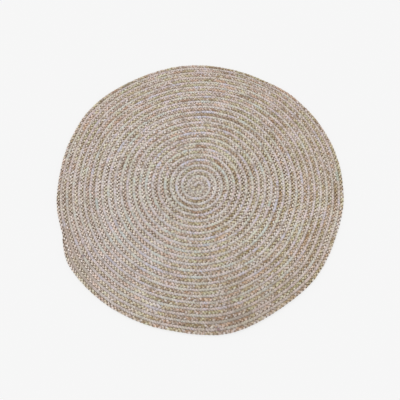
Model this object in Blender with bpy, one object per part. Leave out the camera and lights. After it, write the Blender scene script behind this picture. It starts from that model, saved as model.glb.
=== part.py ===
"""A round braided rug, lying flat.

A flat jute plait and a narrower cotton plait lie side by side and are wound and sewn into one
flat spiral. The rug is one closed solid. Its underside is flat, its top face rises over every
plait of every turn, and its rim follows the slightly uneven outline of the sewn spiral. Seen
from above, the spiral winds outward clockwise, and its outer end is thinned and tucked in.
"""

import math
from typing import NamedTuple

import bmesh
import bpy
from mathutils import Vector

# Driving dimensions, in metres.
TURNS = 24
COTTON_WIDTH = 0.0118
JUTE_WIDTH = 0.0139
COTTON_HEIGHT = 0.0086
JUTE_HEIGHT = 0.0096
GROOVE_HEIGHT = 0.0062          # where two plaits meet
RIM_HEIGHT = 0.0046             # widest point of the outer plait's round side
RIM_UNDERCUT = 0.0030           # the flat underside stops this far inside the rim

# Directions are in degrees, anticlockwise from +X.
END_DIRECTION = 198.0           # where the outer end of the spiral is tucked in
END_TAPER = 16.0                # the last turn thins out over this much of its run

STEPS_PER_TURN = 60
MIDDLE_SHARE = 0.65             # the middle turns lie this share of the way to the rim
OUTER_SHARE = 0.87              # the outer turns lie this share of the way to the rim
MERGE_DISTANCE = 0.00001
SHARP_ANGLE = 60.0

# The start of the spiral is wound a little off centre and a little loose.
START_OFFSET = Vector((-0.0024, -0.0014, 0.0))
START_OFFSET_UNTIL = 0.045      # the offset is whole as far out as this,
START_OFFSET_ENDS = 0.140       # and gone from here on
START_SWELL = 0.004             # how much further out the loose turns lie
START_SWELL_WHOLE = 0.030       # the swell is whole from here
START_SWELL_UNTIL = 0.060       # to here,
START_SWELL_ENDS = 0.135        # and gone from here on

# Worked out from the sizes above.
TURN_PITCH = COTTON_WIDTH + JUTE_WIDTH
RIM_RADIUS = TURNS * TURN_PITCH


class Bulge(NamedTuple):
    """How far the hand-sewn turns stand outside an even spiral in one direction.

    The direction is in degrees and the offsets are in millimetres, less than 0 inside it.
    """

    direction: float
    middle: float               # of the turns at MIDDLE_SHARE of the way out
    outer: float                # of the turns at OUTER_SHARE of the way out
    rim: float                  # of the outermost turn


# The peaks and dips, in order around the rug.
BULGES = (
    Bulge(direction=15, middle=6.0, outer=4.5, rim=2.5),
    Bulge(direction=45, middle=6.0, outer=6.0, rim=-1.0),
    Bulge(direction=62, middle=8.5, outer=4.5, rim=-13.0),
    Bulge(direction=77, middle=6.0, outer=1.0, rim=-12.0),
    Bulge(direction=95, middle=1.5, outer=-3.0, rim=-6.5),
    Bulge(direction=115, middle=2.5, outer=-5.0, rim=-8.0),
    Bulge(direction=145, middle=7.0, outer=5.5, rim=5.0),
    Bulge(direction=157, middle=8.0, outer=-1.0, rim=-2.5),
    Bulge(direction=175, middle=6.5, outer=-2.0, rim=-8.5),
    Bulge(direction=188, middle=8.0, outer=-0.5, rim=-2.5),
    Bulge(direction=198, middle=8.5, outer=0.5, rim=-3.5),
    Bulge(direction=215, middle=8.0, outer=5.0, rim=1.0),
    Bulge(direction=232, middle=5.5, outer=0.5, rim=-3.0),
    Bulge(direction=246, middle=4.0, outer=-3.5, rim=-6.0),
    Bulge(direction=261, middle=3.5, outer=-3.5, rim=-7.0),
    Bulge(direction=280, middle=4.0, outer=4.0, rim=7.0),
    Bulge(direction=304, middle=3.0, outer=-4.5, rim=-6.0),
    Bulge(direction=320, middle=2.0, outer=-0.5, rim=-1.0),
    Bulge(direction=337, middle=1.0, outer=-4.0, rim=-6.5),
    Bulge(direction=355, middle=5.0, outer=2.5, rim=1.0),
)


class Station(NamedTuple):
    """One point of the ribbed top, on the radius where a turn starts."""

    radius: float
    height: float


def smooth_step(amount):
    """Ease from 0 to 1, with a level start and end."""
    amount = min(max(amount, 0.0), 1.0)
    return amount * amount * (3.0 - 2.0 * amount)


def ease(amount, start, end):
    """Ease from 0 at the start to 1 at the end."""
    return smooth_step((amount - start) / (end - start))


def bulge_at(direction):
    """The middle, outer and rim offsets in metres, eased from each bulge to the next."""
    following = BULGES[1:] + BULGES[:1]
    for here, after in zip(BULGES, following):
        span = (after.direction - here.direction) % 360.0
        along = (direction - here.direction) % 360.0
        if along < span:
            share = smooth_step(along / span)
            middle = here.middle + share * (after.middle - here.middle)
            outer = here.outer + share * (after.outer - here.outer)
            rim = here.rim + share * (after.rim - here.rim)
            return 0.001 * middle, 0.001 * outer, 0.001 * rim
    raise ValueError("the bulges must go once around the rug")


def unevenness(radius, direction):
    """How far a point of an even spiral is pushed outward by the hand that sewed it."""
    middle, outer, rim = bulge_at(direction)
    share = radius / RIM_RADIUS
    swell = ease(radius, 0.0, START_SWELL_WHOLE)
    swell *= 1.0 - ease(radius, START_SWELL_UNTIL, START_SWELL_ENDS)
    offset = START_SWELL * swell
    if share < MIDDLE_SHARE:
        return offset + middle * share / MIDDLE_SHARE
    if share < OUTER_SHARE:
        return offset + middle + ease(share, MIDDLE_SHARE, OUTER_SHARE) * (outer - middle)
    return offset + outer + ease(share, OUTER_SHARE, 1.0) * (rim - outer)


def ribbed_profile():
    """The grooves and crests of every turn, from the centre to the rim.

    The first turn lies inside radius 0, because the spiral starts at the centre and every
    point of a turn moves outward by one pitch as the turn is wound.
    """
    stations = []
    for turn in range(-1, TURNS - 1):
        start = turn * TURN_PITCH
        stations.append(Station(start, GROOVE_HEIGHT))
        stations.append(Station(start + 0.5 * COTTON_WIDTH, COTTON_HEIGHT))
        stations.append(Station(start + COTTON_WIDTH, GROOVE_HEIGHT))
        stations.append(Station(start + COTTON_WIDTH + 0.5 * JUTE_WIDTH, JUTE_HEIGHT))
    stations.append(Station((TURNS - 1) * TURN_PITCH, RIM_HEIGHT))
    return stations


def thin_the_end(radius, height, wound):
    """Draw the last turn in to the turn before it, near the spiral's outer end."""
    inner_edge = (TURNS - 2 + wound) * TURN_PITCH
    if radius < inner_edge:
        return radius, height
    full_width = smooth_step((1.0 - wound) * 360.0 / END_TAPER)
    radius = inner_edge + full_width * (radius - inner_edge)
    height = RIM_HEIGHT + full_width * (height - RIM_HEIGHT)
    return radius, height


def spiral_point(station, wound):
    """Where a station of the profile lies after a share, 0 to 1, of a turn is wound."""
    radius = max(station.radius + wound * TURN_PITCH, 0.0)
    height = station.height
    if radius <= MERGE_DISTANCE:
        return Vector((0.0, 0.0, GROOVE_HEIGHT)) + START_OFFSET
    start_share = 1.0 - ease(radius, START_OFFSET_UNTIL, START_OFFSET_ENDS)
    radius, height = thin_the_end(radius, height, wound)
    direction = END_DIRECTION - 360.0 * wound
    radius += unevenness(radius, direction)
    angle = math.radians(direction)
    place = Vector((radius * math.cos(angle), radius * math.sin(angle), height))
    return place + start_share * START_OFFSET


def roll_up_top(bm):
    """Roll a flat grid, one turn long, into the whole spiral and weld turn to turn."""
    profile = ribbed_profile()
    rows = len(profile) - 1
    bmesh.ops.create_grid(bm, x_segments=STEPS_PER_TURN, y_segments=rows, size=1.0)
    for vert in bm.verts:
        step = round(0.5 * (vert.co.x + 1.0) * STEPS_PER_TURN)
        row = round(0.5 * (vert.co.y + 1.0) * rows)
        vert.co = spiral_point(profile[row], step / STEPS_PER_TURN)
    bmesh.ops.remove_doubles(bm, verts=bm.verts, dist=MERGE_DISTANCE)


def close_underside(bm):
    """Carry the rim down and in to the floor, and close it with one flat face."""
    rim = [edge for edge in bm.edges if edge.is_boundary]
    lower = bmesh.ops.extrude_edge_only(bm, edges=rim)["geom"]
    for vert in (item for item in lower if isinstance(item, bmesh.types.BMVert)):
        inward = Vector((vert.co.x, vert.co.y, 0.0)).normalized() * RIM_UNDERCUT
        vert.co -= inward
        vert.co.z = 0.0
    bmesh.ops.holes_fill(bm, edges=[edge for edge in bm.edges if edge.is_boundary])
    bmesh.ops.recalc_face_normals(bm, faces=bm.faces)


def centre_on_floor(bm):
    """Put the middle of the outline's box on the origin, with the underside at z = 0."""
    xs = [vert.co.x for vert in bm.verts]
    ys = [vert.co.y for vert in bm.verts]
    middle = Vector((0.5 * (min(xs) + max(xs)), 0.5 * (min(ys) + max(ys)), 0.0))
    bmesh.ops.translate(bm, verts=bm.verts, vec=-middle)


def plait_material():
    """Natural jute and pale cotton, seen as one colour."""
    material = bpy.data.materials.new("jute_and_cotton")
    material.use_nodes = True
    shader = material.node_tree.nodes["Principled BSDF"]
    shader.inputs["Base Color"].default_value = (0.47, 0.39, 0.31, 1.0)
    shader.inputs["Roughness"].default_value = 0.95
    shader.inputs["Metallic"].default_value = 0.0
    return material


def build_rug(collection):
    """The whole rug as one closed solid."""
    bm = bmesh.new()
    roll_up_top(bm)
    close_underside(bm)
    centre_on_floor(bm)
    mesh = bpy.data.meshes.new("braided_rug")
    bm.to_mesh(mesh)
    bm.free()
    mesh.materials.append(plait_material())
    mesh.shade_smooth()
    mesh.set_sharp_from_angle(angle=math.radians(SHARP_ANGLE))
    collection.objects.link(bpy.data.objects.new("braided_rug", mesh))


def main():
    for item in list(bpy.data.objects):
        bpy.data.objects.remove(item)
    collection = bpy.data.collections.new("round_braided_rug")
    bpy.context.scene.collection.children.link(collection)
    build_rug(collection)


main()
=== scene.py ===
# %% [markdown]
# # A round rug of braided jute and cotton
#
# The rug is one long jute plait and one slightly narrower cotton plait. They lie side by side
# and are wound and sewn into a flat spiral. This lesson models both plaits strand by strand,
# lays them along the hand-sewn spiral and gives each yarn its own procedural finish. Lengths are
# in metres, and directions are in degrees anticlockwise from +X, unless a comment says otherwise.

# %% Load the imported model
import math
from typing import NamedTuple

import bmesh
import bpy
import numpy as np
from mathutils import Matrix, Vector


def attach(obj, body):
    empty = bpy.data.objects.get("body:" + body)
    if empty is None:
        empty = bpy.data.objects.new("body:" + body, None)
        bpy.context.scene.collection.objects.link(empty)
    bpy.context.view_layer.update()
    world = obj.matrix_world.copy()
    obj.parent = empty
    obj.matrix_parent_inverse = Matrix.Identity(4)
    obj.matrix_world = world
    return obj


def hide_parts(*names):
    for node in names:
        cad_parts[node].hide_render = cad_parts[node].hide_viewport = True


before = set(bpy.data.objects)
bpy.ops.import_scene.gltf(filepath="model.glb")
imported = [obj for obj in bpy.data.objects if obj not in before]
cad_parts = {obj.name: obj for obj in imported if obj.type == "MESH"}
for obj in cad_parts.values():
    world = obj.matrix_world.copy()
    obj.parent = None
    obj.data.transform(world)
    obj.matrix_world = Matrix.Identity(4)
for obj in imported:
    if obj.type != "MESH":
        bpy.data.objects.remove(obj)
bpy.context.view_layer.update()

# %% [markdown]
# ## The spiral
#
# A place on the rug is easiest to give as a sewer would: how many turns have been wound, and
# how far out it lies in that turn. One function turns such places into metres. The rug is sewn
# by hand, so its turns swell and dip a little, most of all at the rim, and the first few turns
# are a little loose and off centre. A plain spiral would look machine-made, and a route drawn
# point by point would be a long list. A few bulges, eased from one to the next, are enough.

# %% Sizes of the spiral
TURNS = 24
COTTON_WIDTH = 0.0118
JUTE_WIDTH = 0.0139
TURN_PITCH = COTTON_WIDTH + JUTE_WIDTH
RIM_RADIUS = TURNS * TURN_PITCH
MIDDLE_SHARE = 0.65             # the middle turns lie this share of the way to the rim
OUTER_SHARE = 0.87              # the outer turns lie this share of the way to the rim
START_OFFSET = (-0.0024, -0.0014)
START_OFFSET_UNTIL = 0.045      # the offset is whole as far out as this,
START_OFFSET_ENDS = 0.140       # and gone from here on
START_SWELL = 0.004             # how much further out the loose first turns lie
START_SWELL_WHOLE = 0.030       # the swell is whole from here
START_SWELL_UNTIL = 0.060       # to here,
START_SWELL_ENDS = 0.135        # and gone from here on
END_DIRECTION = 198.0           # where the outer end is tucked in
END_TAPER = 16.0                # degrees over which the last turn thins out


class Bulge(NamedTuple):
    """How far the turns stand outside an even spiral, in millimetres, in one direction."""

    direction: float
    middle: float               # of the turns at MIDDLE_SHARE of the way out
    outer: float                # of the turns at OUTER_SHARE of the way out
    rim: float                  # of the outermost turn


BULGES = (
    Bulge(15, 6.0, 4.5, 2.5),
    Bulge(45, 6.0, 6.0, -1.0),
    Bulge(62, 8.5, 4.5, -13.0),
    Bulge(77, 6.0, 1.0, -12.0),
    Bulge(95, 1.5, -3.0, -6.5),
    Bulge(115, 2.5, -5.0, -8.0),
    Bulge(145, 7.0, 5.5, 5.0),
    Bulge(157, 8.0, -1.0, -2.5),
    Bulge(175, 6.5, -2.0, -8.5),
    Bulge(188, 8.0, -0.5, -2.5),
    Bulge(198, 8.5, 0.5, -3.5),
    Bulge(215, 8.0, 5.0, 1.0),
    Bulge(232, 5.5, 0.5, -3.0),
    Bulge(246, 4.0, -3.5, -6.0),
    Bulge(261, 3.5, -3.5, -7.0),
    Bulge(280, 4.0, 4.0, 7.0),
    Bulge(304, 3.0, -4.5, -6.0),
    Bulge(320, 2.0, -0.5, -1.0),
    Bulge(337, 1.0, -4.0, -6.5),
    Bulge(355, 5.0, 2.5, 1.0),
)


# %% Ease from one bulge to the next
def ease(amount, start=0.0, end=1.0):
    """Ease from 0 at the start to 1 at the end, level at both."""
    amount = np.clip((amount - start) / (end - start), 0.0, 1.0)
    return amount * amount * (3.0 - 2.0 * amount)


def eased_offsets(direction, column):
    """One column of the bulges, in metres, eased between the directions it is given for."""
    starts = np.array([bulge.direction for bulge in BULGES])
    values = np.array([getattr(bulge, column) for bulge in BULGES])
    turned = np.mod(direction - starts[0], 360.0)
    steps = np.mod(starts - starts[0], 360.0)
    here = np.searchsorted(steps, turned, side="right") - 1
    after = (here + 1) % len(BULGES)
    span = np.mod(steps[after] - steps[here], 360.0)
    share = ease((turned - steps[here]) / span)
    return 0.001 * (values[here] + share * (values[after] - values[here]))


def sewn_radius(radius, direction):
    """Push points of an even spiral out or in to where the sewn turns really lie."""
    share = radius / RIM_RADIUS
    middle = eased_offsets(direction, "middle")
    outer = eased_offsets(direction, "outer")
    rim = eased_offsets(direction, "rim")
    offset = middle * np.minimum(share / MIDDLE_SHARE, 1.0)
    offset += ease(share, MIDDLE_SHARE, OUTER_SHARE) * (outer - middle)
    offset += ease(share, OUTER_SHARE, 1.0) * (rim - outer)
    swell = ease(radius, 0.0, START_SWELL_WHOLE)
    swell *= 1.0 - ease(radius, START_SWELL_UNTIL, START_SWELL_ENDS)
    return radius + offset + START_SWELL * swell


# %% Lay places of the spiral out in metres
def end_width(turn):
    """The share of its full width that the spiral still has, 0 at its outer end."""
    return ease((TURNS - turn) * 360.0 / END_TAPER)


def sewn_places(turn, reach):
    """X and Y of places that lie `reach` metres out from the inner edge of a turn."""
    radius = np.maximum((turn - 1.0) * TURN_PITCH + reach, 0.0)
    direction = END_DIRECTION - 360.0 * turn
    sewn = sewn_radius(radius, direction)
    angle = np.radians(direction)
    start_share = 1.0 - ease(radius, START_OFFSET_UNTIL, START_OFFSET_ENDS)
    x = sewn * np.cos(angle) + start_share * START_OFFSET[0]
    y = sewn * np.sin(angle) + start_share * START_OFFSET[1]
    return x, y


# %% The spiral's centre, as seen from the middle of the rim's box
RIM_STEPS = 60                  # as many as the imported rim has

rim_turns = TURNS - 1 + np.linspace(0.0, 1.0, RIM_STEPS + 1)
rim_x, rim_y = sewn_places(rim_turns, end_width(rim_turns) * TURN_PITCH)
SPIRAL_CENTRE = -0.5 * Vector((rim_x.min() + rim_x.max(), rim_y.min() + rim_y.max(), 0.0))
print("spiral centre:", tuple(round(value, 4) for value in SPIRAL_CENTRE))

# %% [markdown]
# ## Floor, light and camera
#
# A bright even sky and one wide soft lamp light the rug as a photo studio would. The floor is a
# plain, pale light table: a white floor lit from above alone would show a darker shadow around
# the rug. The camera is a little over two metres up, and a little in front.

# %% Floor
FLOOR_SIZE = 8.0                # from its middle to each side
FLOOR_COLOUR = (0.25, 0.25, 0.25)
FLOOR_GLOW = 0.67               # the floor is lit from below, so the rug's shadow is faint


def floor_material():
    """A plain, pale, glowing finish."""
    material = bpy.data.materials.new("pale floor")
    material.use_nodes = True
    shader = material.node_tree.nodes["Principled BSDF"]
    shader.inputs["Base Color"].default_value = (*FLOOR_COLOUR, 1.0)
    shader.inputs["Roughness"].default_value = 1.0
    shader.inputs["Specular IOR Level"].default_value = 0.0
    shader.inputs["Emission Color"].default_value = (1.0, 1.0, 1.0, 1.0)
    shader.inputs["Emission Strength"].default_value = FLOOR_GLOW
    return material


def add_object(name, bm, material):
    """Turn a finished bmesh into an object at the origin, with its material."""
    mesh = bpy.data.meshes.new(name)
    bm.to_mesh(mesh)
    bm.free()
    mesh.materials.append(material)
    mesh.shade_smooth()
    item = bpy.data.objects.new(name, mesh)
    bpy.context.scene.collection.objects.link(item)
    print(name, "triangles:", sum(len(face.vertices) - 2 for face in mesh.polygons))
    return item


floor_bm = bmesh.new()
bmesh.ops.create_grid(floor_bm, x_segments=1, y_segments=1, size=FLOOR_SIZE)
floor = add_object("floor", floor_bm, floor_material())

# %% Light
SKY_STRENGTH = 0.78
LAMP_STRENGTH = 0.92
LAMP_SOFTNESS = 40.0            # degrees across, as seen from the rug
LAMP_TURN = (-32.0, -18.0, 0.0)     # degrees about X, Y and Z, from shining straight down

world = bpy.data.worlds.new("even studio sky")
world.use_nodes = True
sky = world.node_tree.nodes["Background"]
sky.inputs["Color"].default_value = (1.0, 1.0, 1.0, 1.0)
sky.inputs["Strength"].default_value = SKY_STRENGTH
bpy.context.scene.world = world

lamp_data = bpy.data.lights.new("wide soft lamp", "SUN")
lamp_data.energy = LAMP_STRENGTH
lamp_data.angle = math.radians(LAMP_SOFTNESS)
lamp = bpy.data.objects.new("wide soft lamp", lamp_data)
lamp.rotation_euler = [math.radians(angle) for angle in LAMP_TURN]
bpy.context.scene.collection.objects.link(lamp)
bpy.context.scene.view_settings.view_transform = "Standard"

# %% Camera
CAMERA_FROM_CENTRE = Vector((0.0083, -0.8990, 2.1963))
CAMERA_TILT = 20.86             # degrees forward of straight down
CAMERA_LENS = 50.97             # millimetres,
CAMERA_SENSOR = 36.0            # before a sensor this many millimetres wide
CAMERA_REACH = 100.0            # it sees this far

camera_data = bpy.data.cameras.new("camera")
camera_data.lens = CAMERA_LENS
camera_data.sensor_width = CAMERA_SENSOR
camera_data.clip_end = CAMERA_REACH
camera = bpy.data.objects.new("camera", camera_data)
camera.location = SPIRAL_CENTRE + CAMERA_FROM_CENTRE
camera.rotation_euler = (math.radians(CAMERA_TILT), 0.0, 0.0)
bpy.context.scene.collection.objects.link(camera)
bpy.context.scene.camera = camera
print("camera height, metres:", round(camera.location.z, 2))

# %% [markdown]
# ## How a flat plait runs
#
# In a three-strand plait each strand swings from side to side once in every repeat, and rises
# and sinks twice, so it passes over one neighbour and under the other. Two sine waves give just
# that. A curve with a round bevel would be quicker to draw, but strands in a sewn rug are pressed
# flat against each other and the floor. So a strand is a flat grid rolled into a flattened tube,
# whose rings are then swung along the plait and wound along the spiral. The jute plait lies on
# the outside of each turn and the cotton plait on the inside.


# %% The two plaits
class Plait(NamedTuple):
    """One plait of the rug."""

    name: str
    outside: bool               # of its turn
    room: float                 # the width that it has in its turn
    thickness: float
    repeat: float               # length along the plait in which its strands come back in place
    strand_width: float
    strand_thickness: float
    crossing: float             # 1 or -1, for the way in which the strands cross over
    first_turn: float
    last_turn: float
    rings: int                  # in each repeat
    lumpiness: float            # share by which a strand swells and thins


JUTE = Plait(
    name="jute",
    outside=True,
    room=JUTE_WIDTH,
    thickness=0.0093,
    repeat=0.0482,
    strand_width=0.0088,
    strand_thickness=0.0047,
    crossing=1.0,
    first_turn=0.56,
    last_turn=23.986,
    rings=12,
    lumpiness=0.16,
)
COTTON = Plait(
    name="cotton",
    outside=False,
    room=COTTON_WIDTH,
    thickness=0.0088,
    repeat=0.0325,
    strand_width=0.0078,
    strand_thickness=0.0045,
    crossing=-1.0,
    first_turn=1.0,
    last_turn=23.975,
    rings=10,
    lumpiness=0.10,
)
STRANDS = 3
STRAND_SIDES = 6
SQUEEZE = 0.0014                # neighbouring plaits are sewn into each other by this much
HALF_THICKNESS = 0.0048         # the middle of both plaits lies this high above the floor
LOWEST = 0.0002                 # the strands are pressed flat just above the floor
WELD = 0.000001                 # points nearer than this are joined


# %% The room that each plait has in its turn
def plait_room(plait, turn):
    """A plait's middle, out from the inner edge of the turn, and its share of its full width."""
    full = end_width(turn) * TURN_PITCH
    seam = np.maximum(full - JUTE_WIDTH, 0.0)
    if plait.outside:
        return 0.5 * (seam + full), (full - seam) / plait.room
    return 0.5 * seam, seam / plait.room


# %% Measure each plait
RUN_STEPS = 24000               # along a whole plait


class Run(NamedTuple):
    """Matching turns and lengths along the middle line of a plait."""

    turns: np.ndarray
    lengths: np.ndarray


def measure_run(plait):
    """How far along its middle line a plait has come after each part of a turn."""
    turns = np.linspace(plait.first_turn, plait.last_turn, RUN_STEPS)
    x, y = sewn_places(turns, plait_room(plait, turns)[0])
    steps = np.hypot(np.diff(x), np.diff(y))
    return Run(turns, np.concatenate([[0.0], np.cumsum(steps)]))


runs = {plait.name: measure_run(plait) for plait in (JUTE, COTTON)}
for name, run in runs.items():
    print(name, "plait length, metres:", round(float(run.lengths[-1]), 2))


# %% A soft random wave, for the unevenness of handwork
def soft_wave(places, spacing, seed):
    """Smooth noise of about -1 to 1 along a length, with a new value every `spacing` metres."""
    count = int(places.max() / spacing) + 3
    values = np.random.default_rng(seed).uniform(-1.0, 1.0, count)
    scaled = places / spacing
    cell = scaled.astype(int)
    share = ease(scaled - cell)
    return values[cell] * (1.0 - share) + values[cell + 1] * share


# %% Where the points of a strand lie
PHASE_DRIFT = 1.6               # radians by which the swing runs early or late
DRIFT_SPACING = 0.20
LUMP_SPACING = 0.019
WANDER = 0.0005                 # how far the whole plait strays to the side
WANDER_SPACING = 0.09
LIFT = 0.00025                  # how far it strays up and down
LIFT_SPACING = 0.065
LUMP_SEED = 1                   # added to the plait's seed, and the strand's number with it
WANDER_SEED = 7                 # added to the plait's seed, as is the next
LIFT_SEED = 9
END_THICKNESS = 0.45            # share of its thickness that a plait keeps where it thins out


class Laid(NamedTuple):
    """Points of a strand after it is laid."""

    places: np.ndarray          # X, Y and Z, from the spiral's centre
    turns: np.ndarray
    across: np.ndarray          # -1 and 1 at the plait's edges, 0 along its middle
    phase: np.ndarray           # radians of the swing from side to side, counted on and on


def lay_points(plait, strand, along, around, seed):
    """Swing points along and around a strand as the plait does, and wind them up.

    A ring stands square to the strand, so where the strand runs at a slope across the plait, a
    point of its ring lies less far across by the lean, and a little forward or back.
    """
    run = runs[plait.name]
    drift = PHASE_DRIFT * soft_wave(along, DRIFT_SPACING, seed)
    phase = 2.0 * math.pi * (along / plait.repeat + strand / STRANDS) + drift
    girth = 1.0 + plait.lumpiness * soft_wave(along, LUMP_SPACING, seed + LUMP_SEED + strand)
    swing = 0.5 * (plait.room + SQUEEZE - plait.strand_width)
    rise = 0.5 * (plait.thickness - plait.strand_thickness)
    slope = swing * np.cos(phase) * 2.0 * math.pi / plait.repeat
    lean = 1.0 / np.sqrt(1.0 + slope * slope)
    out = 0.5 * plait.strand_width * girth * np.cos(around)
    up = 0.5 * plait.strand_thickness * girth * np.sin(around)
    middle = np.clip(along - slope * lean * out, 0.0, run.lengths[-1])
    turn = np.interp(middle, run.lengths, run.turns)
    centre, narrowing = plait_room(plait, turn)
    wander = WANDER * soft_wave(along, WANDER_SPACING, seed + WANDER_SEED)
    aside = wander + swing * np.sin(phase) + lean * out
    x, y = sewn_places(turn, centre + narrowing * aside)
    height = plait.crossing * rise * np.sin(2.0 * phase) + up
    height *= END_THICKNESS + (1.0 - END_THICKNESS) * narrowing
    lift = LIFT * soft_wave(along, LIFT_SPACING, seed + LIFT_SEED)
    z = np.maximum(HALF_THICKNESS + lift + height, LOWEST)
    return Laid(np.stack([x, y, z], axis=1), turn, 2.0 * aside / plait.room, phase)


# %% [markdown]
# ## Patches of odd yarn
#
# The jute comes from many bundles and the cotton from left-over yarn, so a length of either may
# be browner, greener or pinker than its neighbours. Most of that is left to chance in the
# materials. The patches that catch the eye are named here, by how many turns have been wound
# where each one starts and ends, and a few broad areas are tinted a little. A painted image would
# need a picture of 45 m of yarn. A colour attribute on the strands holds the same, with the
# patch's strength as its fourth value.


# %% The patches that catch the eye
class Patch(NamedTuple):
    """A stretch of one plait, from turn to turn, whose yarn stands out."""

    first: float                # turns wound where it starts
    last: float                 # and where it ends
    colour: str
    strength: float             # 0 to 1


YARN_COLOURS = {
    "bark": (0.17, 0.11, 0.06),
    "tobacco": (0.33, 0.21, 0.11),
    "ochre": (0.61, 0.46, 0.15),
    "brick": (0.48, 0.25, 0.14),
    "straw": (0.62, 0.47, 0.24),
    "moss": (0.33, 0.31, 0.17),
    "cream": (0.82, 0.72, 0.57),
    "tan": (0.52, 0.40, 0.30),
    "ash": (0.38, 0.33, 0.29),
    "mint": (0.50, 0.60, 0.51),
    "lilac": (0.50, 0.45, 0.56),
    "sky": (0.46, 0.52, 0.60),
    "pink": (0.68, 0.50, 0.46),
    "plum": (0.22, 0.10, 0.14),
    "peach": (0.74, 0.55, 0.46),
    "shell": (0.95, 0.78, 0.72),
    "chalk": (0.86, 0.86, 0.84),
}

JUTE_PATCHES = (
    Patch(0.40, 2.30, "cream", 0.22),
    Patch(0.40, 2.30, "chalk", 0.20),
    Patch(2.30, 5.60, "bark", 0.20),
    Patch(2.70, 9.80, "bark", 0.06),
    Patch(2.79, 2.82, "bark", 0.6),
    Patch(2.90, 2.95, "cream", 0.5),
    Patch(3.51, 3.55, "brick", 0.5),
    Patch(4.52, 4.55, "brick", 0.5),
    Patch(6.52, 6.535, "bark", 0.6),
    Patch(8.38, 8.55, "tobacco", 0.4),
    Patch(10.52, 10.54, "straw", 0.5),
    Patch(10.65, 10.68, "tobacco", 0.5),
    Patch(10.93, 10.97, "cream", 0.4),
    Patch(11.74, 11.77, "straw", 0.5),
    Patch(13.01, 13.04, "cream", 0.4),
    Patch(13.25, 13.45, "tobacco", 0.55),
    Patch(13.67, 13.73, "tobacco", 0.4),
    Patch(14.09, 14.12, "cream", 0.4),
    Patch(14.59, 14.61, "straw", 0.5),
    Patch(16.566, 16.58, "brick", 0.6),
    Patch(16.97, 17.00, "cream", 0.4),
    Patch(17.51, 17.54, "straw", 0.4),
    Patch(18.03, 18.175, "brick", 0.3),
    Patch(18.67, 18.69, "straw", 0.4),
    Patch(21.60, 21.70, "tobacco", 0.45),
    Patch(23.165, 23.175, "bark", 0.5),
    Patch(23.185, 23.195, "brick", 0.5),
    Patch(23.202, 23.216, "moss", 0.6),
    Patch(23.23, 23.24, "brick", 0.5),
    Patch(23.69, 23.71, "straw", 0.4),
)
COTTON_PATCHES = (
    Patch(2.40, 5.20, "chalk", 0.20),
    Patch(16.50, 24.0, "peach", 0.09),
    Patch(20.40, 24.0, "peach", 0.05),
    Patch(21.20, 24.0, "tan", 0.15),
    Patch(8.40, 8.415, "sky", 0.5),
    Patch(8.71, 8.73, "tan", 0.6),
    Patch(10.77, 10.79, "sky", 0.5),
    Patch(12.585, 12.60, "mint", 0.6),
    Patch(17.01, 17.03, "mint", 0.6),
    Patch(18.17, 18.19, "pink", 0.5),
    Patch(18.535, 18.55, "tan", 0.6),
    Patch(18.92, 18.94, "lilac", 0.5),
    Patch(19.37, 19.39, "ash", 0.5),
    Patch(20.69, 20.71, "ash", 0.5),
    Patch(21.74, 21.76, "ash", 0.5),
    Patch(21.955, 21.959, "plum", 0.7),
    Patch(22.74, 22.79, "ash", 0.5),
    Patch(22.92, 23.00, "tan", 0.6),
    Patch(23.532, 23.545, "mint", 0.6),
    Patch(23.777, 23.781, "plum", 0.7),
    Patch(23.92, 23.98, "tan", 0.6),
)
PATCHES = {"jute": JUTE_PATCHES, "cotton": COTTON_PATCHES}
PATCH_EDGE = 0.004              # a patch fades in and out over this length


class Zone(NamedTuple):
    """A broad round area where plaits are tinted, most of all in its middle."""

    plaits: tuple
    x: float                    # from the spiral's centre
    y: float
    radius: float
    colour: str
    strength: float             # in the middle, 0 to 1


ZONES = (
    # darker and browner on the outer turns at the front, towards -Y
    Zone(("jute", "cotton"), 0.20, -0.58, 0.46, "bark", 0.22),
    Zone(("jute",), -0.36, -0.22, 0.44, "shell", 0.46),
    Zone(("cotton",), -0.28, -0.34, 0.52, "sky", 0.20),
    Zone(("jute",), -0.10, 0.42, 0.38, "shell", 0.12),
    Zone(("jute", "cotton"), 0.00, 0.00, 0.15, "lilac", 0.10),
    Zone(("jute",), 0.34, -0.12, 0.60, "ochre", 0.22),
    Zone(("cotton",), 0.42, 0.14, 0.36, "tobacco", 0.08),
)
print(len(JUTE_PATCHES) + len(COTTON_PATCHES), "patches and", len(ZONES), "zones")


# %% Paint the patches and zones
def lay_over(tint, share, colour_name):
    """Lay one more colour over a tint of red, green, blue and strength."""
    total = share + tint[:, 3] * (1.0 - share)
    mixed = (share / np.maximum(total, WELD))[:, None]
    tint[:, :3] += mixed * (np.array(YARN_COLOURS[colour_name]) - tint[:, :3])
    tint[:, 3] = total


def paint(plait, laid):
    """Red, green, blue and strength of the patches and zones at each point."""
    tint = np.zeros((len(laid.turns), 4))
    edge = PATCH_EDGE / (2.0 * math.pi * TURN_PITCH * np.maximum(laid.turns, 1.0))
    for patch in PATCHES[plait.name]:
        share = ease((laid.turns - patch.first) / edge) * ease((patch.last - laid.turns) / edge)
        lay_over(tint, patch.strength * share, patch.colour)
    for zone in ZONES:
        if plait.name in zone.plaits:
            away = np.hypot(laid.places[:, 0] - zone.x, laid.places[:, 1] - zone.y)
            lay_over(tint, zone.strength * ease(1.0 - away / zone.radius), zone.colour)
    return tint
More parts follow.
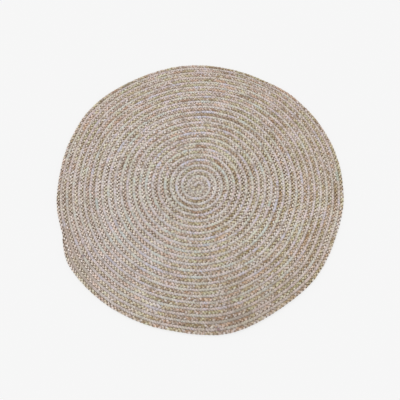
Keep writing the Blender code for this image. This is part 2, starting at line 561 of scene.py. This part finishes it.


# %% [markdown]
# ## Crisp and smooth stretches
#
# The jute looks crisp on two opposite sides of the rug, and smoother between them: there its
# painted highlights and painted shade are strong, and between them weaker. The two edges of a
# plait aren't crisp in quite the same direction, because their strands slant opposite ways. All
# of that follows the direction from the rug's middle, so a cosine of it is stored at each point
# instead of a painted mask.

# %% How crisp the plaits are
CRISP_DIRECTION = -2.0          # the middle of a plait is crispest this way and opposite,
CRISP_BEND = 11.0               # but for this many degrees towards -Y on both sides
CRISP_TURN = -20.0              # degrees that a plait's outer edge differs from its middle
CRISP_POWER = 2.3               # a higher power makes the crisp sides narrower
CRISP_LEAST = 0.41              # what is left between the crisp sides,
CRISP_RANGE = 1.20              # and how much more there is on them
CRISP_OUTWARD = 0.60            # share by which a plait's outer edge is crisper than its middle
CRISP_LOSS = 0.35               # share that the outer turns lose,
CRISP_LOSS_MORE = 0.14          # and how much more on the side, or less on the far side,
CRISP_LOSS_SIDE = 50.0          # that lies this way
CRISP_FADES = (14.0, 18.0)      # the loss eases in between these turns
CRISP_STARTS = (0.8, 2.8)       # the loose first turns are smooth, and ease to crisp here


def crispness(laid):
    """Well over 1 where painted highlights and shade are strong, and under 1 where they are weak.
    """
    direction = np.arctan2(laid.places[:, 1], laid.places[:, 0])
    line = CRISP_DIRECTION - CRISP_BEND * np.cos(direction) + CRISP_TURN * laid.across
    along = np.abs(np.cos(direction - np.radians(line))) ** CRISP_POWER
    crisp = CRISP_LEAST + CRISP_RANGE * along * ease(laid.turns, *CRISP_STARTS)
    crisp *= 1.0 + CRISP_OUTWARD * laid.across
    loss = CRISP_LOSS + CRISP_LOSS_MORE * np.cos(direction - math.radians(CRISP_LOSS_SIDE))
    return crisp * (1.0 - loss * ease(laid.turns, *CRISP_FADES))


# %% [markdown]
# ## Laying the strands
#
# Blender's grid operator makes the flat strip, with a UV map. Its points are then moved to where
# the strand runs, the open sides are welded, and both ends are closed. The UV map keeps the
# length along the strand in metres, and the way around it from 0 to 1, starting underneath. Each
# point also keeps how far across the plait it lies, how crisp the plait is there and where the
# strand is in its swing. The materials follow the yarn by all of these.


# %% Lay one strand
def rolled_grid(rings):
    """A flat grid to be rolled into a strand, x along it and y around it, both 0 to 1."""
    bm = bmesh.new()
    bm.loops.layers.uv.new("yarn")
    bmesh.ops.create_grid(
        bm, x_segments=rings, y_segments=STRAND_SIDES, size=0.5, calc_uvs=True
    )
    bmesh.ops.translate(bm, verts=bm.verts, vec=(0.5, 0.5, 0.0))
    mesh = bpy.data.meshes.new("strand")
    bm.to_mesh(mesh)
    bm.free()
    return mesh


STRAND_SHIFT = 60.0             # metres of UV between strands, so that no two look alike


def lay_strand(plait, strand, start, stop, seed):
    """One strand of a plait between two lengths along it, as a tube with open ends."""
    rings = max(2, round((stop - start) / plait.repeat * plait.rings))
    mesh = rolled_grid(rings)
    flat = np.empty(len(mesh.vertices) * 3, np.float32)
    mesh.vertices.foreach_get("co", flat)
    flat = flat.reshape(-1, 3).astype(float)
    along = start + (stop - start) * flat[:, 0]
    sides = np.round(flat[:, 1] * STRAND_SIDES)
    around = 2.0 * math.pi * np.mod(sides, STRAND_SIDES) / STRAND_SIDES - 0.5 * math.pi
    laid = lay_points(plait, strand, along, around, seed)
    places = laid.places + np.array(SPIRAL_CENTRE)
    mesh.vertices.foreach_set("co", places.astype(np.float32).ravel())
    tint = mesh.color_attributes.new("tint", "FLOAT_COLOR", "POINT")
    tint.data.foreach_set("color", paint(plait, laid).astype(np.float32).ravel())
    stored = {"across": laid.across, "crisp": crispness(laid), "phase": laid.phase}
    for name, values in stored.items():
        attribute = mesh.attributes.new(name, "FLOAT", "POINT")
        attribute.data.foreach_set("value", values.astype(np.float32))
    yarn = np.empty(len(mesh.loops) * 2, np.float32)
    mesh.uv_layers["yarn"].data.foreach_get("uv", yarn)
    yarn = yarn.reshape(-1, 2)
    yarn[:, 0] = start + (stop - start) * yarn[:, 0] + STRAND_SHIFT * strand
    mesh.uv_layers["yarn"].data.foreach_set("uv", yarn.ravel())
    return mesh


# %% Lay one stretch of a plait
def lay_plait(plait, start, stop, name, material, seed):
    """A stretch of plait as one mesh of three closed strands."""
    bm = bmesh.new()
    for strand in range(STRANDS):
        mesh = lay_strand(plait, strand, start, stop, seed)
        bm.from_mesh(mesh)
        bpy.data.meshes.remove(mesh)
    bmesh.ops.remove_doubles(bm, verts=bm.verts, dist=WELD)
    ends = [edge for edge in bm.edges if edge.is_boundary]
    bmesh.ops.holes_fill(bm, edges=ends)
    bmesh.ops.recalc_face_normals(bm, faces=bm.faces)
    return add_object(name, bm, material)


def stretches(plait, count):
    """Divide a plait into stretches of like length, each a whole number of repeats."""
    total = runs[plait.name].lengths[-1]
    repeats = total / plait.repeat
    cuts = [plait.repeat * round(repeats * index / count) for index in range(count)]
    return list(zip(cuts, cuts[1:] + [total]))


# %% [markdown]
# ## Finishes
#
# Both yarns need the same effects at different sizes: a mask of what lies open to the light and
# what lies deep between strands, tones that change along each strand, and the fine relief of
# spun yarn. Each effect is a node group that is built once and used in both materials.


# %% Small helpers for node trees
def plug(tree, socket, value):
    """Link an output to a socket, or give the socket a number or a colour."""
    if isinstance(value, bpy.types.NodeSocket):
        tree.links.new(value, socket)
    else:
        socket.default_value = value


def calculate(tree, operation, *values):
    """A Math node. Each value is an output or a number."""
    node = tree.nodes.new("ShaderNodeMath")
    node.operation = operation
    for socket, value in zip(node.inputs, values):
        plug(tree, socket, value)
    return node.outputs[0]


def smooth_mask(tree, value, low, high):
    """0 below `low`, 1 above `high`, and smooth between them."""
    node = tree.nodes.new("ShaderNodeMapRange")
    node.interpolation_type = "SMOOTHSTEP"
    plug(tree, node.inputs["Value"], value)
    plug(tree, node.inputs["From Min"], low)
    plug(tree, node.inputs["From Max"], high)
    return node.outputs["Result"]


def mix_colours(tree, share, first, second, blend="MIX"):
    """A colour between two, by share."""
    node = tree.nodes.new("ShaderNodeMix")
    node.data_type = "RGBA"
    node.blend_type = blend
    colour_sockets = [socket for socket in node.inputs if socket.type == "RGBA"]
    plug(tree, node.inputs[0], share)
    plug(tree, colour_sockets[0], first)
    plug(tree, colour_sockets[1], second)
    return next(socket for socket in node.outputs if socket.type == "RGBA")


def colour_ramp(tree, value, stops):
    """A ramp through named stops, each a position and a colour."""
    node = tree.nodes.new("ShaderNodeValToRGB")
    elements = node.color_ramp.elements
    while len(elements) < len(stops):
        elements.new(0.5)
    for element, (position, colour) in zip(elements, stops):
        element.position = position
        element.color = (*colour, 1.0)
    plug(tree, node.inputs["Fac"], value)
    return node.outputs["Color"]


def new_group(name, inputs, outputs):
    """An empty shader group with number sockets, given as names and starting values."""
    tree = bpy.data.node_groups.new(name, "ShaderNodeTree")
    for label, value in inputs.items():
        socket = tree.interface.new_socket(label, in_out="INPUT", socket_type="NodeSocketFloat")
        socket.default_value = value
    for label in outputs:
        tree.interface.new_socket(label, in_out="OUTPUT", socket_type="NodeSocketFloat")
    return tree, tree.nodes.new("NodeGroupInput").outputs, tree.nodes.new("NodeGroupOutput").inputs


def use_group(tree, group, **values):
    """Place a group in a material and set its inputs, named with _ for each space."""
    node = tree.nodes.new("ShaderNodeGroup")
    node.node_tree = group
    for label, value in values.items():
        plug(tree, node.inputs[label.replace("_", " ")], value)
    return node.outputs


def yarn_map(tree):
    """The length along a strand, in metres, and the way around it, 0 to 1."""
    uv = tree.nodes.new("ShaderNodeUVMap")
    uv.uv_map = "yarn"
    split = tree.nodes.new("ShaderNodeSeparateXYZ")
    tree.links.new(uv.outputs["UV"], split.inputs[0])
    return split.outputs["X"], split.outputs["Y"]


def point_value(tree, name):
    """A number that was stored at each point when the strands were laid."""
    node = tree.nodes.new("ShaderNodeAttribute")
    node.attribute_name = name
    return node.outputs["Fac"]


# %% Effect: what lies open to the light
def build_open_group():
    """Lifted is 1 on the crossings' crests, Crown is about 1 along the top of each strand.

    The plait's edges count as higher than its middle, by the Edge Lift in all, because what is
    deep in the middle lies under two strands. The Lead moves the line that counts as the middle
    inward, so that the crests of the outer edge reach further across.
    """
    tree, inputs, outputs = new_group(
        "open to the light",
        {"Deep": 0.0008, "High": 0.0030, "Edge Lift": 0.0022, "Edge Crown": 0.9, "Lead": 0.0},
        ("Lifted", "Crown"),
    )
    place = tree.nodes.new("ShaderNodeTexCoord")
    split = tree.nodes.new("ShaderNodeSeparateXYZ")
    tree.links.new(place.outputs["Object"], split.inputs[0])
    edge = calculate(tree, "ADD", point_value(tree, "across"), inputs["Lead"])
    edge = calculate(tree, "SUBTRACT", calculate(tree, "ABSOLUTE", edge), 0.5)
    above = calculate(tree, "SUBTRACT", split.outputs["Z"], HALF_THICKNESS)
    away = calculate(tree, "ABSOLUTE", above)
    away = calculate(tree, "MULTIPLY_ADD", edge, inputs["Edge Lift"], away)
    tree.links.new(smooth_mask(tree, away, inputs["Deep"], inputs["High"]), outputs["Lifted"])
    around = yarn_map(tree)[1]
    turned = calculate(tree, "MULTIPLY", around, 2.0 * math.pi)
    crown = calculate(tree, "ABSOLUTE", calculate(tree, "COSINE", turned))
    crown = calculate(tree, "MULTIPLY_ADD", edge, inputs["Edge Crown"], crown)
    tree.links.new(crown, outputs["Crown"])
    return tree


# %% Effect: tones that change along a strand
def build_tones_group():
    """Tone and Shared are about 0, and change along the strand over about one spacing.

    Each strand has a Tone of its own, and Shared is alike in all three.
    """
    tree, inputs, outputs = new_group(
        "tones along the yarn", {"Spacing": 0.05, "Contrast": 1.0, "Shift": 0.0}, ("Tone", "Shared")
    )
    along = yarn_map(tree)[0]
    together = calculate(tree, "MODULO", along, STRAND_SHIFT)
    for label, place in (("Tone", along), ("Shared", together)):
        noise = tree.nodes.new("ShaderNodeTexNoise")
        noise.noise_dimensions = "1D"
        noise.inputs["Scale"].default_value = 1.0
        noise.inputs["Detail"].default_value = 1.0
        cells = calculate(tree, "DIVIDE", place, inputs["Spacing"])
        plug(tree, noise.inputs["W"], calculate(tree, "ADD", cells, inputs["Shift"]))
        centred = calculate(tree, "SUBTRACT", noise.outputs["Fac"], 0.5)
        tree.links.new(calculate(tree, "MULTIPLY", centred, inputs["Contrast"]), outputs[label])
    return tree


# %% Effect: the relief of spun yarn
FURROW_WIDTH = 0.55             # as a share of a yarn's height
FIBRES_AROUND = 60.0            # around a strand


def build_relief_group():
    """Height of the yarns and their fibres, the furrows between yarns, and the fibres alone."""
    tree, inputs, outputs = new_group(
        "spun yarn relief",
        {"Yarns": 10.0, "Slant": 0.03, "Fibre Length": 0.006, "Fibre Share": 0.4},
        ("Height", "Furrow", "Fibre"),
    )
    along, around = yarn_map(tree)
    slanted = calculate(tree, "DIVIDE", along, inputs["Slant"])
    count = calculate(tree, "MULTIPLY", around, inputs["Yarns"])
    angle = calculate(tree, "MULTIPLY", calculate(tree, "ADD", count, slanted), math.pi)
    ridge = calculate(tree, "ABSOLUTE", calculate(tree, "SINE", angle))
    furrow = calculate(tree, "SUBTRACT", 1.0, smooth_mask(tree, ridge, 0.0, FURROW_WIDTH))
    tree.links.new(furrow, outputs["Furrow"])
    vector = tree.nodes.new("ShaderNodeCombineXYZ")
    tree.links.new(calculate(tree, "DIVIDE", along, inputs["Fibre Length"]), vector.inputs["X"])
    tree.links.new(calculate(tree, "MULTIPLY", around, FIBRES_AROUND), vector.inputs["Y"])
    noise = tree.nodes.new("ShaderNodeTexNoise")
    noise.noise_dimensions = "2D"
    noise.inputs["Scale"].default_value = 1.0
    noise.inputs["Detail"].default_value = 2.0
    tree.links.new(vector.outputs["Vector"], noise.inputs["Vector"])
    tree.links.new(noise.outputs["Fac"], outputs["Fibre"])
    fibres = calculate(tree, "MULTIPLY", noise.outputs["Fac"], inputs["Fibre Share"])
    tree.links.new(calculate(tree, "ADD", ridge, fibres), outputs["Height"])
    return tree


# %% [markdown]
# ## Waves along a plait
#
# A strand tips to the light on its way in and away from it on its way out, its knuckles stand
# out just past each crest, and faint ribs cross the tight cotton plait at a slant. A mesh fine
# enough for that would be far too large, so cosines of the swing stored at each point paint it
# as highlight and shade.

# %% Effect: waves that follow a strand's swing
CROSSINGS = 2 * STRANDS         # in each repeat
LEAN_PHASE = -0.75 * math.pi    # 1 a quarter of the way in, -1 a quarter of the way out
KNUCKLE_PHASE = math.pi / 6.0   # 1 just past each crest, about -1 where a swing is widest
RIB_SLANT = -0.8                # radians that a rib lags at the plait's outer edge


def swing_waves(tree):
    """A wave that is high as a strand starts inward, and one that is high just past its crests."""
    phase = point_value(tree, "phase")
    lean = calculate(tree, "COSINE", calculate(tree, "ADD", phase, LEAN_PHASE))
    crests = calculate(tree, "MULTIPLY_ADD", phase, float(CROSSINGS), KNUCKLE_PHASE)
    return lean, calculate(tree, "COSINE", crests)


def rib_wave(tree):
    """A wave that crosses the whole plait once for each strand, at a slant."""
    swings = calculate(tree, "MULTIPLY", point_value(tree, "phase"), float(STRANDS))
    slanted = calculate(tree, "MULTIPLY_ADD", point_value(tree, "across"), RIB_SLANT, swings)
    return calculate(tree, "COSINE", slanted)


open_group = build_open_group()
tones_group = build_tones_group()
relief_group = build_relief_group()
print("effects:", ", ".join(group.name for group in (open_group, tones_group, relief_group)))


# %% Paint patches and set up a yarn's shader
def over_patches(tree, colour):
    """Lay the painted patches over a colour."""
    tint = tree.nodes.new("ShaderNodeVertexColor")
    tint.layer_name = "tint"
    return mix_colours(tree, tint.outputs["Alpha"], colour, tint.outputs["Color"])


def yarn_material(name, roughness, sheen):
    """A matt, slightly fuzzy material, and its node tree and shader."""
    material = bpy.data.materials.new(name)
    material.use_nodes = True
    shader = material.node_tree.nodes["Principled BSDF"]
    shader.inputs["Roughness"].default_value = roughness
    shader.inputs["Specular IOR Level"].default_value = 0.15
    shader.inputs["Sheen Weight"].default_value = sheen
    shader.inputs["Sheen Roughness"].default_value = 0.5
    return material, material.node_tree, shader


def add_bump(tree, shader, height, distance):
    """Give a shader the fine relief of a height, this many metres deep."""
    bump = tree.nodes.new("ShaderNodeBump")
    bump.inputs["Distance"].default_value = distance
    tree.links.new(height, bump.inputs["Height"])
    tree.links.new(bump.outputs["Normal"], shader.inputs["Normal"])


# %% Changes of tone
MIDDLE = 0.5                    # where a value from 0 to 1 starts, before it changes


class Change(NamedTuple):
    """One change of tone along the yarn."""

    spacing: float
    contrast: float
    shift: float                # sets it apart from every other change
    output: str = "Tone"        # each strand's own, or else "Shared", alike in all three


def add_changes(tree, start, changes):
    """Add changes of tone to a starting value."""
    total = start
    for change in changes:
        found = use_group(
            tree, tones_group, Spacing=change.spacing, Contrast=change.contrast, Shift=change.shift
        )
        total = calculate(tree, "ADD", total, found[change.output])
    return total


# %% [markdown]
# ## Jute
#
# Jute is a coarse straw-coloured fibre. Its strands are bundles of thin yarns that run side by
# side. The crests of the plait get a pale painted highlight, and the crevices between them a dark
# brown painted shade, both stronger in some stretches than in others. Each strand keeps its own
# tone over about half a metre, because it was spun from one bundle, and shorter patches come and
# go along it. Here and there the painted shade widens at a crossing, and shows as a dark speck.

# %% Jute material
JUTE_TONES = (
    (0.05, (0.38, 0.26, 0.155)),
    (0.35, (0.61, 0.465, 0.342)),
    (0.62, (0.82, 0.685, 0.547)),
    (0.95, (0.97, 0.885, 0.79)),
)
JUTE_HUES = (
    (0.08, (0.88, 0.98, 0.83)),
    (0.26, (0.97, 0.99, 0.82)),
    (0.42, (1.0, 1.0, 1.0)),
    (0.58, (0.96, 0.99, 1.14)),
    (0.74, (1.05, 0.95, 0.98)),
    (0.92, (1.03, 0.88, 0.80)),
)
# painted shade in the crevices between strands
JUTE_CREVICE_SHADE = (0.082, 0.040, 0.014)
# a pale painted highlight on the crests
JUTE_CREST_HIGHLIGHT = (0.97, 0.893, 0.82)
JUTE_EVEN_SHADE = 0.22          # how dark smooth jute is all over, when 1 is a crevice
JUTE_LEAN = 0.20                # brighter by this on a strand's way in, darker on its way out
JUTE_KNUCKLE = 0.14             # brighter by this past a crest, darker where it swings widest
JUTE_CHANGES = (
    Change(0.40, 1.5, 3.0),
    Change(0.10, 1.7, 11.0),
    Change(0.014, 1.7, 23.0),
    Change(0.006, 1.9, 29.0),
)
JUTE_SPREAD = 0.34              # how much further the tones part where the plait is crisp
JUTE_HUE = 0.45                 # where the commonest hue lies in JUTE_HUES
JUTE_HUE_CHANGES = (
    Change(0.22, 1.25, 47.0, "Shared"),
    Change(0.06, 1.4, 43.0, "Shared"),
    Change(0.07, 0.8, 41.0),
)
# A pair says where a mask starts, and where it is whole.
JUTE_TOP = (0.10, 0.70)         # of the Crown
# How strong the painted highlights and painted shade are changes at random along the yarn.
JUTE_PAINTED_LIGHT_CHANGE = Change(0.11, 2.2, 61.0)
JUTE_PAINTED_LIGHT_RANGE = (0.1, 0.9)
JUTE_CREST_LEAST = 0.06         # share of the painted crest highlight where the painted light is weakest,
JUTE_CREST_MORE = 0.44          # and how much more where it is strongest
JUTE_SHADE_LEAST = 0.78         # strength of the painted shade where the painted light is weakest,
JUTE_SHADE_MORE = 0.50          # and how much more where it is strongest
JUTE_SHADE_OUTWARD = 0.3        # share by which it is stronger at the plait's outer edge
JUTE_FURROW = 0.30              # painted shade in the furrows between yarns, when 1 is a crevice
# where a crossing gets a wider dark speck of painted shade
JUTE_GAP_SHADE = Change(0.008, 2.4, 67.0)
JUTE_GAPING = (0.12, 0.36)
JUTE_GAP_DEPTH = (0.10, 0.40)   # of the shade


def jute_colour(tree, crisp):
    """The colour of jute fibre as it changes along a strand."""
    tone = add_changes(tree, 0.0, JUTE_CHANGES)
    spread = calculate(tree, "MULTIPLY_ADD", crisp, JUTE_SPREAD, 1.0 - JUTE_SPREAD)
    tone = calculate(tree, "MULTIPLY_ADD", tone, spread, MIDDLE)
    colour = colour_ramp(tree, tone, JUTE_TONES)
    hue = colour_ramp(tree, add_changes(tree, JUTE_HUE, JUTE_HUE_CHANGES), JUTE_HUES)
    return mix_colours(tree, 1.0, colour, hue, "MULTIPLY")


def jute_brightness(tree):
    """About 1 on the crests, which lie open to the light, and 0 in the crevices."""
    light = use_group(tree, open_group, Deep=0.0008, High=0.0030, Lead=0.12)
    top = smooth_mask(tree, light["Crown"], *JUTE_TOP)
    bright = calculate(tree, "MULTIPLY", light["Lifted"], top)
    lean, knuckle = swing_waves(tree)
    bright = calculate(tree, "MULTIPLY_ADD", lean, JUTE_LEAN, bright)
    return calculate(tree, "MULTIPLY_ADD", knuckle, JUTE_KNUCKLE, bright)


def jute_crest_highlight(tree, bright, painted_light_strength, crisp):
    """The share of the pale painted highlight on the crests."""
    share = calculate(tree, "MULTIPLY_ADD", painted_light_strength, JUTE_CREST_MORE, JUTE_CREST_LEAST)
    share = calculate(tree, "MULTIPLY", bright, share)
    return calculate(tree, "MULTIPLY", share, crisp)


def jute_shade(tree, bright, painted_light_strength, crisp, furrow):
    """The share of the dark painted crevice shade."""
    depth = calculate(tree, "SUBTRACT", 1.0 - JUTE_EVEN_SHADE, bright)
    depth = calculate(tree, "MULTIPLY_ADD", depth, crisp, JUTE_EVEN_SHADE)
    shade = calculate(tree, "MULTIPLY_ADD", painted_light_strength, JUTE_SHADE_MORE, JUTE_SHADE_LEAST)
    across = point_value(tree, "across")
    outward = calculate(tree, "MULTIPLY_ADD", across, JUTE_SHADE_OUTWARD, 1.0)
    shade = calculate(tree, "MULTIPLY", shade, outward)
    shade = calculate(tree, "MULTIPLY", shade, depth)
    shade = calculate(tree, "MAXIMUM", shade, calculate(tree, "MULTIPLY", furrow, JUTE_FURROW))
    # here and there the painted shade widens into a dark speck
    gap_shade = smooth_mask(tree, add_changes(tree, 0.0, (JUTE_GAP_SHADE,)), *JUTE_GAPING)
    gap_shade = calculate(tree, "MULTIPLY", gap_shade, crisp)
    gap_shade = calculate(tree, "MULTIPLY", gap_shade, smooth_mask(tree, depth, *JUTE_GAP_DEPTH))
    return calculate(tree, "MAXIMUM", shade, gap_shade)


def make_jute():
    """Jute yarn: straw tones, painted highlights on the crests and painted shade in the crevices.
    """
    material, tree, shader = yarn_material("natural jute", roughness=0.92, sheen=0.10)
    relief = use_group(tree, relief_group, Yarns=11.0, Slant=0.05, Fibre_Length=0.006)
    # how strong the painted highlights and shade are, by direction on the rug
    crisp = point_value(tree, "crisp")
    bright = jute_brightness(tree)
    painted_light_strength = smooth_mask(tree, add_changes(tree, MIDDLE, (JUTE_PAINTED_LIGHT_CHANGE,)), *JUTE_PAINTED_LIGHT_RANGE)
    colour = over_patches(tree, jute_colour(tree, crisp))
    crests = jute_crest_highlight(tree, bright, painted_light_strength, crisp)
    # lay the pale painted highlight over the crests
    colour = mix_colours(tree, crests, colour, (*JUTE_CREST_HIGHLIGHT, 1.0))
    shade = jute_shade(tree, bright, painted_light_strength, crisp, relief["Furrow"])
    # lay the dark painted shade into the crevices
    colour = mix_colours(tree, shade, colour, (*JUTE_CREVICE_SHADE, 1.0))
    tree.links.new(colour, shader.inputs["Base Color"])
    add_bump(tree, shader, relief["Height"], distance=0.0005)
    return material


# %% [markdown]
# ## Cotton
#
# The cotton is spun from recycled cloth, so it is soft, grey-white and full of faint colours
# that change every few centimetres: green-grey, cream, pink, lilac and a light blue. Its crevices
# get a painted shade only a little darker than its crests, and a dark fleck shows here and there.

# %% Cotton material
COTTON_HUES = (
    (0.06, (0.74, 0.77, 0.735)),
    (0.24, (0.79, 0.77, 0.645)),
    (0.42, (0.83, 0.75, 0.685)),
    (0.56, (0.81, 0.75, 0.755)),
    (0.70, (0.86, 0.72, 0.665)),
    (0.82, (0.81, 0.70, 0.755)),
    (0.94, (0.74, 0.72, 0.81)),
)
COTTON_DULL = (0.42, 0.343, 0.29)
COTTON_CREVICE_SHADE = (0.33, 0.261, 0.206)
COTTON_FLECK = (0.16, 0.12, 0.13)
COTTON_RIB = 0.16               # how far the ribs lighten the shade, and the dips darken it
COTTON_HUE_CHANGES = (
    Change(0.20, 1.3, 5.0, "Shared"),
    Change(0.06, 1.2, 9.0, "Shared"),
    Change(0.065, 0.7, 7.0),
)
COTTON_DULLNESS = 0.25          # how dull the cotton is, from 0 to 1, before it changes
COTTON_DULL_CHANGES = (
    Change(0.20, 0.6, 13.0, "Shared"),
    Change(0.030, 1.1, 17.0, "Shared"),
    Change(0.04, 1.2, 31.0),
    Change(0.010, 2.2, 37.0),
)
COTTON_FLECKS = Change(0.004, 1.0, 53.0)
COTTON_FLECKED = (0.85, 0.95)   # of the fibres and flecks together
COTTON_FLECK_SHARE = 0.7
COTTON_TOP = (0.05, 0.6)        # of the Crown
COTTON_FURROW = 0.18            # painted shade in the furrows between yarns, when 1 is a crevice
COTTON_SHADE = 0.50             # share of the painted crevice shade in a crevice


def cotton_colour(tree, fibre):
    """The colour of recycled cotton as it changes along a strand, with its flecks."""
    colour = colour_ramp(tree, add_changes(tree, MIDDLE, COTTON_HUE_CHANGES), COTTON_HUES)
    dull = smooth_mask(tree, add_changes(tree, COTTON_DULLNESS, COTTON_DULL_CHANGES), 0.0, 1.0)
    colour = mix_colours(tree, dull, colour, (*COTTON_DULL, 1.0))
    fleck = smooth_mask(tree, add_changes(tree, fibre, (COTTON_FLECKS,)), *COTTON_FLECKED)
    fleck = calculate(tree, "MULTIPLY", fleck, COTTON_FLECK_SHARE)
    return mix_colours(tree, fleck, colour, (*COTTON_FLECK, 1.0))


def cotton_shade(tree, furrow):
    """The share of the painted crevice shade."""
    light = use_group(tree, open_group, Deep=0.0002, High=0.0024)
    top = smooth_mask(tree, light["Crown"], *COTTON_TOP)
    bright = calculate(tree, "MULTIPLY", light["Lifted"], top)
    furrow = calculate(tree, "MULTIPLY", furrow, COTTON_FURROW)
    shade = calculate(tree, "MAXIMUM", calculate(tree, "SUBTRACT", 1.0, bright), furrow)
    shade = calculate(tree, "MULTIPLY", shade, COTTON_SHADE)
    shade = calculate(tree, "MULTIPLY_ADD", rib_wave(tree), COTTON_RIB, shade)
    return calculate(tree, "MAXIMUM", shade, 0.0)


def make_cotton():
    """Recycled cotton yarn: grey-white with faint patches of colour."""
    material, tree, shader = yarn_material("recycled cotton", roughness=0.95, sheen=0.15)
    relief = use_group(tree, relief_group, Yarns=14.0, Slant=0.02, Fibre_Length=0.003)
    colour = over_patches(tree, cotton_colour(tree, relief["Fibre"]))
    shade = cotton_shade(tree, relief["Furrow"])
    colour = mix_colours(tree, shade, colour, (*COTTON_CREVICE_SHADE, 1.0))
    tree.links.new(colour, shader.inputs["Base Color"])
    add_bump(tree, shader, relief["Height"], distance=0.0003)
    return material


jute = make_jute()
cotton = make_cotton()
print("finishes:", jute.name, "and", cotton.name)

# %% [markdown]
# ## Both plaits, laid
#
# Each plait is about 45 m long. It is laid in three stretches that meet end to end, so that no
# mesh grows too large, and chance gives every stretch the same drift, so the joins don't show.

# %% Lay both plaits in stretches
STRETCHES = 3
JUTE_SEED = 11
COTTON_SEED = 29


def lay_stretches(plait, material, seed):
    """A whole plait, in pieces that meet end to end."""
    pieces = []
    for number, (start, stop) in enumerate(stretches(plait, STRETCHES), start=1):
        name = f"{plait.name}_plait_{number}"
        pieces.append(lay_plait(plait, start, stop, name, material, seed))
    return pieces


jute_pieces = lay_stretches(JUTE, jute, JUTE_SEED)
cotton_pieces = lay_stretches(COTTON, cotton, COTTON_SEED)

# %% [markdown]
# ## The sewn ground
#
# Where plaits are pressed and sewn edge to edge, their inner fibres and the sewing thread mat
# into one thin layer. It shows only deep between the strands, and it holds the rug together. Its
# stitches could be modelled one by one, but none shows. So it is a grid one turn long and as many
# rows wide as there are turns, rolled up into the spiral.

# %% Sewn ground
GROUND_STEPS = 120
GROUND_HEIGHT = 0.0050
GROUND_THICKNESS = 0.0012
GROUND_MARGIN = 0.0035          # the ground stops this far inside the rim
GROUND_COLOUR = (0.26, 0.20, 0.14)
GROUND_PALE = (0.50, 0.42, 0.33)
GROUND_GRAIN = 700.0            # noise cells in a metre
GROUND_MIX = (0.4, 0.75)        # of the noise, from the dark colour to the pale one
GROUND_WELD = 0.00001


def make_sewing():
    """Matted fibre and sewing thread: dark, with paler fibres."""
    material, tree, shader = yarn_material("matted fibre and thread", roughness=0.95, sheen=0.0)
    place = tree.nodes.new("ShaderNodeTexCoord")
    noise = tree.nodes.new("ShaderNodeTexNoise")
    noise.inputs["Scale"].default_value = GROUND_GRAIN
    noise.inputs["Detail"].default_value = 3.0
    tree.links.new(place.outputs["Object"], noise.inputs["Vector"])
    share = smooth_mask(tree, noise.outputs["Fac"], *GROUND_MIX)
    colour = mix_colours(tree, share, (*GROUND_COLOUR, 1.0), (*GROUND_PALE, 1.0))
    tree.links.new(colour, shader.inputs["Base Color"])
    add_bump(tree, shader, noise.outputs["Fac"], distance=0.0005)
    return material


def lay_ground():
    """A thin closed sheet halfway up all the turns, ending a little inside the rim."""
    bm = bmesh.new()
    bmesh.ops.create_grid(bm, x_segments=GROUND_STEPS, y_segments=TURNS, size=0.5)
    wound = np.array([vert.co.x + 0.5 for vert in bm.verts])
    row = np.round(np.array([(vert.co.y + 0.5) * TURNS for vert in bm.verts]))
    turn = row - 1.0 + wound
    reach = end_width(turn) * TURN_PITCH - GROUND_MARGIN * (1.0 - end_width(turn + 1.0))
    x, y = sewn_places(turn, reach)
    for vert, place_x, place_y in zip(bm.verts, x, y):
        vert.co = SPIRAL_CENTRE + Vector((place_x, place_y, GROUND_HEIGHT))
    bmesh.ops.remove_doubles(bm, verts=bm.verts, dist=GROUND_WELD)
    bmesh.ops.solidify(bm, geom=bm.faces[:], thickness=GROUND_THICKNESS)
    bmesh.ops.recalc_face_normals(bm, faces=bm.faces)
    return add_object("sewn_ground", bm, make_sewing())


ground = lay_ground()

# %% [markdown]
# ## Attaching the pieces
#
# All pieces ride on the rug's one body, and stand in for the imported rug, which is hidden.

# %% Attach every piece to the rug's body
plait_pieces = jute_pieces + cotton_pieces
for piece in plait_pieces + [ground]:
    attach(piece, "root")
    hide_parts("braided_rug")
